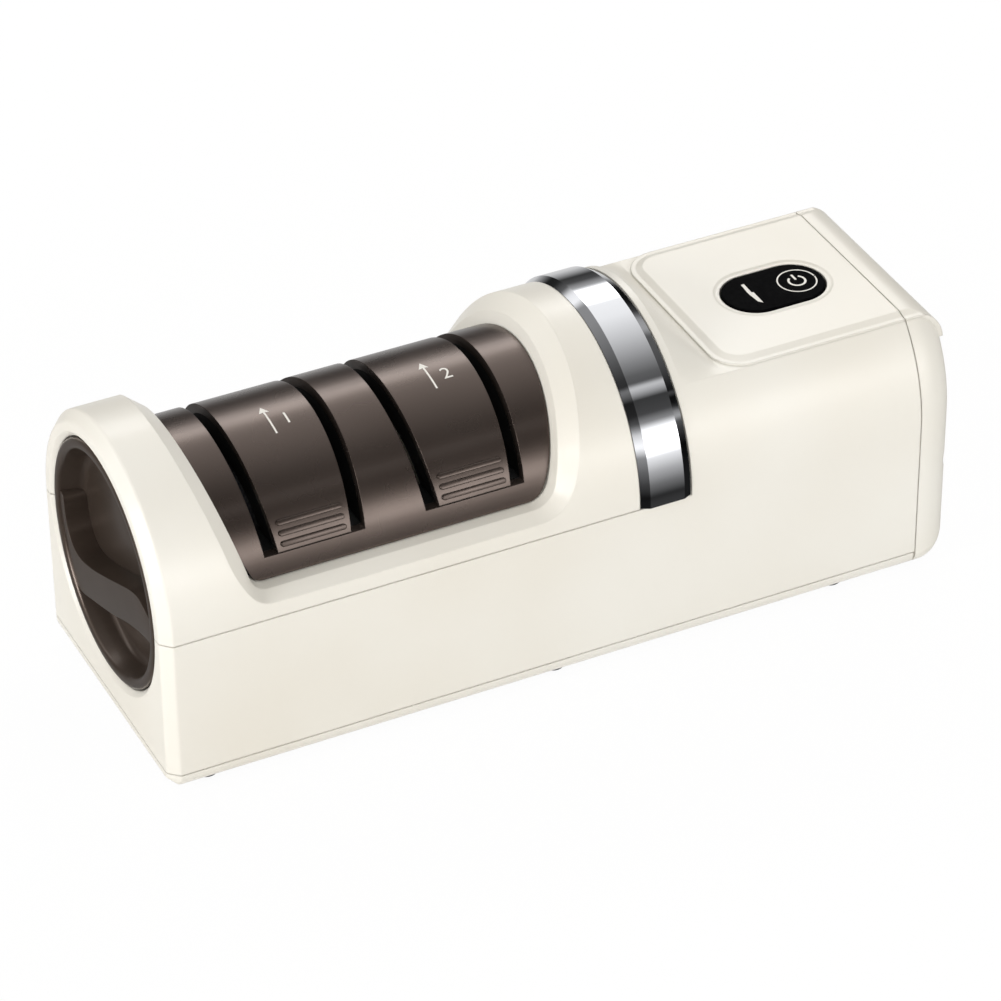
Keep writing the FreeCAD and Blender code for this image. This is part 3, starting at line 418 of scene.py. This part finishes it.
print("edges flatter than", round(math.degrees(SMOOTH_UNDER)), "degrees are shaded smooth")

# %% [markdown]
# ## Turn knob
# The knob is one moulding: a shallow bowl with a rounded rim, and a broad S-shaped bar across it
# that two fingers pinch. The bowl is a disc that is extruded and inset three times, so that its
# wall slopes a little, as a mould needs. Rounded edges are what draw the fine bright lines.

# %% Knob bowl
KNOB_RADIUS, KNOB_FACE, KNOB_BACK = 28.83, 0.30, 8.4
RIM_WIDTH, WALL_SLOPE, BOWL_DEPTH, FLOOR_RING = 2.5, 1.5, 6.2, 6.0
start()
bpy.ops.mesh.primitive_circle_add(vertices=160, radius=KNOB_RADIUS * MM, fill_type="NGON",
                                  location=place(KNOB_BACK, 0, AXIS),
                                  rotation=(0, -math.pi / 2, 0))
bowl = bpy.context.object
bpy.ops.object.transform_apply(location=True, rotation=True, scale=True)
bpy.ops.object.mode_set(mode="EDIT")
bpy.ops.mesh.select_all(action="SELECT")
bpy.ops.mesh.extrude_region_move(
    TRANSFORM_OT_translate={"value": (-(KNOB_BACK - KNOB_FACE) * MM, 0, 0)})
bpy.ops.mesh.inset(thickness=RIM_WIDTH * MM, depth=0)
bpy.ops.mesh.inset(thickness=WALL_SLOPE * MM, depth=-BOWL_DEPTH * MM)
bpy.ops.mesh.inset(thickness=FLOOR_RING * MM, depth=0)
print("bowl", round(2 * KNOB_RADIUS, 2), "mm across and", BOWL_DEPTH, "mm deep")

# %% [markdown]
# The bowl has three rings of edges to round: the outer rim, the inner rim and the foot of the
# wall. Each is found by its radius about the grinding axis and by its depth.

# %% Rounded rings of the bowl
RING_REACH = 0.05
RIM_INSIDE = KNOB_RADIUS - RIM_WIDTH
KNOB_RINGS = [(KNOB_RADIUS, KNOB_FACE, 1.0), (RIM_INSIDE, KNOB_FACE, 0.9),
              (RIM_INSIDE - WALL_SLOPE, KNOB_FACE + BOWL_DEPTH, 1.6)]


def ring_test(radius, depth):
    """A test for points on a circle about the grinding axis, radius and depth in mm."""
    return lambda x, y, z: (abs(math.hypot(y, z - AXIS) - radius) < RING_REACH
                            and abs(x - depth) < RING_REACH)


for radius, depth, round_mm in KNOB_RINGS:
    found = pick_edges(bowl, ring_test(radius, depth))
    bpy.ops.mesh.bevel(offset=round_mm * MM, segments=5, profile=0.5)
    print("knob ring", round(radius, 1), "edges rounded:", found)
bpy.ops.mesh.select_all(action="SELECT")
bpy.ops.mesh.normals_make_consistent(inside=False)
bpy.ops.object.mode_set(mode="OBJECT")

# %% [markdown]
# The bar's two edges are wavy lines, each given by a few points measured across the knob and up
# from the grinding axis. A smooth curve through the points needs no more of them, so one small
# function finds any place along it.

# %% Edges of the knob bar
BAR_CREST = [(26.6, 3.0), (25.0, 3.3), (23.9, 1.8), (23.3, -2.9), (21.2, -7.0), (16.7, -8.9),
             (9.0, -7.2), (-0.3, -3.6), (-8.0, -0.3), (-15.5, 2.7), (-20.2, 3.3), (-26.0, 1.4)]
BAR_FOOT = [(26.2, -6.4), (25.0, -9.4), (23.9, -12.0), (22.0, -15.4), (19.6, -17.6), (16.0, -18.3),
            (8.9, -16.1), (-1.9, -12.4), (-11.1, -8.6), (-16.4, -6.8), (-21.0, -5.6), (-25.4, -4.9)]


def along(points, share):
    """A point at a share of the way through a list, on a smooth curve through it."""
    span = share * (len(points) - 1)
    index = min(int(span), len(points) - 2)
    t = span - index
    before = points[max(index - 1, 0)]
    a, b = points[index], points[index + 1]
    after = points[min(index + 2, len(points) - 1)]
    weights = (-t ** 3 + 2 * t ** 2 - t, 3 * t ** 3 - 5 * t ** 2 + 2,
               -3 * t ** 3 + 4 * t ** 2 + t, t ** 3 - t ** 2)
    return [sum(w * p[axis] for w, p in zip(weights, (before, a, b, after))) / 2
            for axis in (0, 1)]


print("bar crest half way across:", [round(c, 2) for c in along(BAR_CREST, 0.5)])

# %% [markdown]
# A grid one cell high and many cells long starts the bar. Its long sides are drawn to the two
# curves, then it is extruded from behind the bowl's floor to just below the rim, and its edges
# are rounded. Bowl and bar are joined, because the knob is one moulding.

# %% Knob bar
BAR_FACE, BAR_ROOT, BAR_STEPS = 0.9, KNOB_BACK - 0.6, 88
BAR_EDGE = 0.8
start()
bpy.ops.mesh.primitive_grid_add(x_subdivisions=BAR_STEPS, y_subdivisions=1, size=2)
bar = bpy.context.object
for vertex in bar.data.vertices:
    edge = BAR_CREST if vertex.co.y > 0 else BAR_FOOT
    across, rise = along(edge, (vertex.co.x + 1) / 2)
    vertex.co = place(BAR_ROOT, across, AXIS + rise)
bpy.ops.object.mode_set(mode="EDIT")
bpy.ops.mesh.select_all(action="SELECT")
bpy.ops.mesh.extrude_region_move(
    TRANSFORM_OT_translate={"value": (-(BAR_ROOT - BAR_FACE) * MM, 0, 0)})
bpy.ops.mesh.select_all(action="SELECT")
bpy.ops.mesh.normals_make_consistent(inside=False)
bpy.ops.object.mode_set(mode="OBJECT")
soften(bar, BAR_EDGE, 4)
dress(join_all([bowl, bar]), "turn_knob", brown_knob_abs, "knob", "grip_knob")

# %% [markdown]
# ## Ribs on the guide blocks
# Each guide block between two slots carries three short ribs across its near slope, for grip
# when the cover is lifted off. One rib is a bar with fully rounded ends, standing half out of
# the block, and it is copied round the curve. The far slope has the same three.

# %% One rib
COVER_RADIUS = 28.85
RIB_LENGTH, RIB_WIDTH, RIB_RISE, RIB_EDGE = 15.6, 1.3, 0.5, 0.28
ROUND_END = 0.49


def rib(middle, angle):
    """One rib at bench x = middle, angle in degrees from the top towards the near side."""
    start()
    bpy.ops.mesh.primitive_cube_add(size=1)
    piece = bpy.context.object
    piece.scale = (RIB_LENGTH * MM, RIB_WIDTH * MM, 2 * RIB_RISE * MM)
    bpy.ops.object.transform_apply(location=True, rotation=True, scale=True)
    bpy.ops.object.mode_set(mode="EDIT")
    bpy.ops.mesh.select_all(action="DESELECT")
    for edge in bmesh.from_edit_mesh(piece.data).edges:
        edge.select = abs(edge.verts[0].co.z - edge.verts[1].co.z) > RIB_RISE * MM
    bmesh.update_edit_mesh(piece.data)
    bpy.ops.mesh.bevel(offset=RIB_WIDTH * ROUND_END * MM, segments=6)
    bpy.ops.object.mode_set(mode="OBJECT")
    soften(piece, RIB_EDGE, 3)
    slope = math.radians(angle)
    piece.rotation_euler = (slope, 0, 0)
    piece.location = place(middle, -COVER_RADIUS * math.sin(slope),
                           AXIS + COVER_RADIUS * math.cos(slope))
    bpy.ops.object.transform_apply(location=True, rotation=True, scale=True)
    return piece


print("a rib is", RIB_LENGTH, "mm long and stands", RIB_RISE, "mm proud")

# %% Ribs of both stages
RIB_ANGLES = (56.0, 60.7, 65.4)
STAGE_MIDDLES = {"coarse": 39.8, "fine": 78.5}
for stage, middle in STAGE_MIDDLES.items():
    ribs = [rib(middle, side * angle) for side in (1, -1) for angle in RIB_ANGLES]
    dress(join_all(ribs), "grip_ribs_" + stage, brown_abs, "cover")

# %% [markdown]
# ## Printed marks
# Each stage has a small white print on its guide block: a number and an arrow that shows which
# way the knife is drawn. A print has no real thickness, so the flat text or outline is wrapped
# round the cover a few hundredths of a millimetre above it.

# %% Ink
# Pad-print ink: an even warm white, a little duller than the plastic under it.
PRINT_LIFT = 0.03
white_ink, tree, shader = material("white_pad_print")
shader.inputs["Base Color"].default_value = colour("E9E6DF")
shader.inputs["Roughness"].default_value = 0.5
print("prints stand", PRINT_LIFT, "mm above their ground")

# %% Flat outlines and numbers


def flat_outline(points):
    """A flat mesh face from millimetre outline points."""
    start()
    bpy.ops.mesh.primitive_circle_add(vertices=len(points), radius=1, fill_type="NGON")
    piece = bpy.context.object
    for vertex, (u, v) in zip(piece.data.vertices, points):
        vertex.co = (u, v, 0)
    return piece


def flat_number(body, size):
    """A number as a flat mesh in millimetres, centred on its middle."""
    start()
    bpy.ops.object.text_add()
    piece = bpy.context.object
    piece.data.body = body
    piece.data.size = size
    piece.data.align_x = "CENTER"
    piece.data.align_y = "CENTER"
    piece.data.resolution_u = 4
    bpy.ops.object.convert(target="MESH")
    return bpy.context.object


print("flat prints are drawn in millimetres, u across and v up")

# %% [markdown]
# A flat face has no points inside it, so it would cut straight through the curved cover. It is
# first sliced with the bisect operator into strips narrow enough to follow the curve. The
# slices are shifted a hair, so that none runs exactly through a corner of the outline.

# %% Wrapping a print on the cover
STRIP, STRIPS_EACH_WAY, HAIR = 0.4, 12, 0.01


def wrap_on_cover(piece, middle, offset, angle):
    """Slice a flat print into strips and bend it round the cover; v runs up over the top."""
    start()
    bpy.context.view_layer.objects.active = piece
    piece.select_set(True)
    bpy.ops.object.mode_set(mode="EDIT")
    for step in range(-STRIPS_EACH_WAY, STRIPS_EACH_WAY + 1):
        bpy.ops.mesh.select_all(action="SELECT")
        bpy.ops.mesh.bisect(plane_co=(0, step * STRIP + HAIR, 0), plane_no=(0, 1, 0))
    bpy.ops.object.mode_set(mode="OBJECT")
    radius = COVER_RADIUS + PRINT_LIFT
    for vertex in piece.data.vertices:
        u, v = vertex.co.x, vertex.co.y
        slope = math.radians(angle) - (v + offset[1]) / COVER_RADIUS
        vertex.co = place(middle + offset[0] + u, -radius * math.sin(slope),
                          AXIS + radius * math.cos(slope))
    return piece


sag = COVER_RADIUS * (1 - math.cos(STRIP / COVER_RADIUS / 2))
print("a strip sags", round(sag, 5), "mm, less than the", PRINT_LIFT, "mm of lift")

# %% Stage numbers and arrows
ARROW = [(-0.22, -4.6), (0.22, -4.6), (0.22, 2.6), (1.2, 2.4), (0.0, 4.6), (-1.2, 2.4),
         (-0.22, 2.6)]
ARROW_ANGLE = 7.0
DIGIT_SIZE, DIGIT_ANGLE, DIGIT_OFFSET = 5.0, 8.4, (3.9, -0.4)
for number, (stage, middle) in enumerate(STAGE_MIDDLES.items(), 1):
    arrow = wrap_on_cover(flat_outline(ARROW), middle, (0, 0), ARROW_ANGLE)
    digit = wrap_on_cover(flat_number(str(number), DIGIT_SIZE), middle, DIGIT_OFFSET,
                          DIGIT_ANGLE)
    dress(join_all([arrow, digit]), "stage_print_" + stage, white_ink, "cover")

# %% [markdown]
# ## Print on the power key
# The key carries a thin ring round the usual power sign, and a small blade outline beside it.
# Both lie flat on its top, so they need no wrapping: each outline is only turned and put down.

# %% Signs on the key
KEY_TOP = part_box("power_key")[1][2] / MM - FOOT
KEY_MIDDLE = (166.9, -1.4)


def sector(radius, width, first, last, steps):
    """Outline of a ring piece between two angles in degrees, as flat points."""
    turns = [math.radians(first + (last - first) * i / steps) for i in range(steps + 1)]
    outer = [((radius + width / 2) * math.cos(a), (radius + width / 2) * math.sin(a))
             for a in turns]
    inner = [((radius - width / 2) * math.cos(a), (radius - width / 2) * math.sin(a))
             for a in reversed(turns)]
    return outer + inner


def lay_on_key(outline, along_key, turned=0.0):
    """A flat sign on the key's top, along_key mm behind its middle, turned in degrees."""
    piece = flat_outline(outline)
    cosine, sine = math.cos(math.radians(turned)), math.sin(math.radians(turned))
    for vertex in piece.data.vertices:
        u, v = vertex.co.x, vertex.co.y
        vertex.co = place(KEY_MIDDLE[0] + along_key + u * cosine - v * sine,
                          KEY_MIDDLE[1] + u * sine + v * cosine, KEY_TOP + PRINT_LIFT)
    return piece


print("key top stands", round(KEY_TOP, 2), "mm above the underside")

# %% Key print
POWER_PLACE, BLADE_PLACE, BLADE_TURN = 6.2, -5.6, -90
POWER_SIGN = [sector(4.55, 0.36, 2, 358, 64), sector(1.95, 0.55, 125, 415, 40),
              [(-0.27, 0.5), (0.27, 0.5), (0.27, 2.8), (-0.27, 2.8)]]
BLADE = [(-4.2, -0.55), (-1.0, -0.75), (0.2, -0.75), (3.6, -0.35), (4.6, 0.55), (-0.2, 0.6),
         (-0.4, 0.15), (-4.2, 0.25)]
signs = [lay_on_key(outline, POWER_PLACE) for outline in POWER_SIGN]
signs.append(lay_on_key(BLADE, BLADE_PLACE, BLADE_TURN))
dress(join_all(signs), "key_print", white_ink, "key")

# %% [markdown]
# ## Floor
# The part stands on white paper that runs out of sight, so the picture has a white ground with
# only a faint shadow. The camera sees the paper nearly as plain white light. Mirrored rays pass
# through it, or the lower half of the bright trim would show nothing but paper.

# %% Floor
PAPER_GLOW = 0.95
bpy.ops.object.select_all(action="DESELECT")
bpy.ops.mesh.primitive_plane_add(size=6, location=(0, 0, 0))
floor = bpy.context.object
floor.name = "studio_floor"
# Matt studio paper: white, with no gloss to catch the lamps.
floor_paint, tree, shader = material("white_studio_paper")
shader.inputs["Base Color"].default_value = colour("FFFFFF")
shader.inputs["Roughness"].default_value = 0.9
rays = add(tree, "ShaderNodeLightPath")
white = add(tree, "ShaderNodeEmission", inputs={"Color": (1, 1, 1, 1), "Strength": 1.0})
seen = add(tree, "ShaderNodeMath", {"operation": "MULTIPLY"}, {1: PAPER_GLOW},
           {0: rays.outputs["Is Camera Ray"]})
paper = add(tree, "ShaderNodeMixShader", links={0: seen.outputs[0], 1: shader.outputs[0],
                                                2: white.outputs[0]})
clear = add(tree, "ShaderNodeBsdfTransparent")
mirror_view = add(tree, "ShaderNodeMixShader", links={0: rays.outputs["Is Glossy Ray"],
                                                      1: paper.outputs[0], 2: clear.outputs[0]})
tree.links.new(mirror_view.outputs[0], tree.nodes["Material Output"].inputs["Surface"])
floor.data.materials.append(floor_paint)
print("floor", [round(side, 2) for side in floor.dimensions[:2]], "m")

# %% [markdown]
# ## World
# The world is a pale room that lights the part evenly. Reflections see something else in it:
# dark and bright strips that run along the part, as the flags and cards of a studio do. They
# draw the bands along the bright trim. The angle about the part's long axis picks the strip.

# %% Pale room
ROOM_STRENGTH = 0.64
world = bpy.data.worlds.new("pale_room")
bpy.context.scene.world = world
world.use_nodes = True
tree = world.node_tree
surround = tree.nodes["Background"]
surround.inputs["Color"].default_value = colour("F4F3F0")
surround.inputs["Strength"].default_value = ROOM_STRENGTH
print("room strength", ROOM_STRENGTH)

# %% Angle of a reflected ray about the long axis
looking = add(tree, "ShaderNodeTexCoord")
direction = add(tree, "ShaderNodeSeparateXYZ", links={"Vector": looking.outputs["Generated"]})
toward = add(tree, "ShaderNodeMath", {"operation": "MULTIPLY"}, {1: -1.0},
             {0: direction.outputs["Y"]})
tilt = add(tree, "ShaderNodeMath", {"operation": "ARCTAN2"},
           links={0: toward.outputs[0], 1: direction.outputs["Z"]})
share = add(tree, "ShaderNodeMapRange", inputs={"From Min": -math.pi, "From Max": math.pi},
            links={"Value": tilt.outputs[0]}).outputs["Result"]
print("0 degrees looks straight up, 90 to the near side and -90 to the far side")

# %% [markdown]
# Three ramps describe the reflected room. The first gives each strip its grey. The second marks
# the two cards that are much brighter than white paper. The third dims the room from end to
# end, so that the knob's face and the rear end do not glare.

# %% Strips in reflections
STRIPS = [(-180, "E4E4E4"), (-104, "C0C0C0"), (-94, "989898"), (-84, "363636"), (-74, "4C4C4C"),
          (-64, "AAAAAA"), (-54, "F2F2F2"), (-44, "FFFFFF"), (-24, "F5F5F5"), (-3, "CBCBCB"),
          (7, "AEAEAE"), (17, "8A8A8A"), (27, "606060"), (33, "565656"), (36, "CCCCCC"),
          (39, "B4B4B4"), (45, "3A3A3A"), (56, "474747"), (68, "B8B8B8"), (78, "FEFEFE"),
          (88, "F8F8F8"), (99, "B2B2B2"), (109, "747474"), (119, "2A2A2A"), (150, "606060")]
GLOWS = [(-64, 0.0), (-57, 1.0), (-47, 1.0), (-40, 0.0), (62, 0.0), (70, 1.0), (80, 1.0),
         (88, 0.0)]
ENDS = [(0.0, 0.62), (0.50, 0.55), (0.60, 1.0), (0.78, 1.0), (0.83, 0.35), (1.0, 0.35)]
STRIP_STRENGTH, GLOW_STRENGTH = 1.3, 3.6


def by_share(stops):
    """Stops given in degrees about the long axis, as shares of a full turn."""
    return [((degrees + 180) / 360, setting) for degrees, setting in stops]


def level_ramp(tree, factor, stops):
    """A grey ramp of (position, level) stops, read as a number."""
    grey = [(position, "%02X%02X%02X" % ((round(255 * level),) * 3)) for position, level in stops]
    return ramp(tree, factor, grey)


glow = level_ramp(tree, share, by_share(GLOWS))
facing = add(tree, "ShaderNodeMapRange", inputs={"From Min": -1.0},
             links={"Value": direction.outputs["X"]})
ends = level_ramp(tree, facing.outputs["Result"], ENDS)
raised = add(tree, "ShaderNodeMath", {"operation": "MULTIPLY_ADD"},
             {1: GLOW_STRENGTH, 2: STRIP_STRENGTH}, {0: glow})
power = add(tree, "ShaderNodeMath", {"operation": "MULTIPLY"},
            links={0: raised.outputs[0], 1: ends})
strips = add(tree, "ShaderNodeBackground",
             links={"Color": ramp(tree, share, by_share(STRIPS)), "Strength": power.outputs[0]})
print(len(STRIPS), "strip stops and", len(GLOWS) // 4, "bright cards")

# %% [markdown]
# The kind of ray decides which room it meets: matt faces see the pale room, mirrored rays see
# the strips, and the camera itself sees plain white behind the part.

# %% What each ray sees
rays = add(tree, "ShaderNodeLightPath")
plain = add(tree, "ShaderNodeBackground", inputs={"Color": (1, 1, 1, 1), "Strength": 1.0})
mirrored = add(tree, "ShaderNodeMixShader", links={0: rays.outputs["Is Glossy Ray"],
                                                   1: surround.outputs[0], 2: strips.outputs[0]})
sky = add(tree, "ShaderNodeMixShader", links={0: rays.outputs["Is Camera Ray"],
                                              1: mirrored.outputs[0], 2: plain.outputs[0]})
tree.links.new(sky.outputs[0], tree.nodes["World Output"].inputs["Surface"])
print("world nodes:", len(tree.nodes))

# %% [markdown]
# ## Lamps
# Two long soft boxes stand above the far side and the near side, and a square one faces the
# knob end. The long ones stay out of reflections, where they would show as hard rectangles: the
# strips above give the lights in their place.

# %% Lamps
LAMP_AIM = Vector((0, 0, 0.045))


def soft_lamp(name, place_m, length, width, watts, mirrored):
    """A soft box, its length along x, aimed at the middle of the part."""
    aim = (LAMP_AIM - Vector(place_m)).to_track_quat("-Z", "Y").to_euler()
    bpy.ops.object.light_add(type="AREA", location=place_m, rotation=aim)
    lamp = bpy.context.object
    lamp.name = name
    lamp.data.shape = "RECTANGLE"
    lamp.data.size = length
    lamp.data.size_y = width
    lamp.data.energy = watts
    lamp.visible_glossy = mirrored
    print(name, watts, "W")


soft_lamp("far_side_strip", (0.32, 0.80, 0.66), 1.5, 0.22, 4.6, mirrored=False)
soft_lamp("near_side_strip", (0.32, -0.95, 0.46), 1.5, 0.22, 4.2, mirrored=False)
soft_lamp("knob_end_box", (-1.1, -0.25, 0.35), 0.5, 0.5, 6.8, mirrored=True)
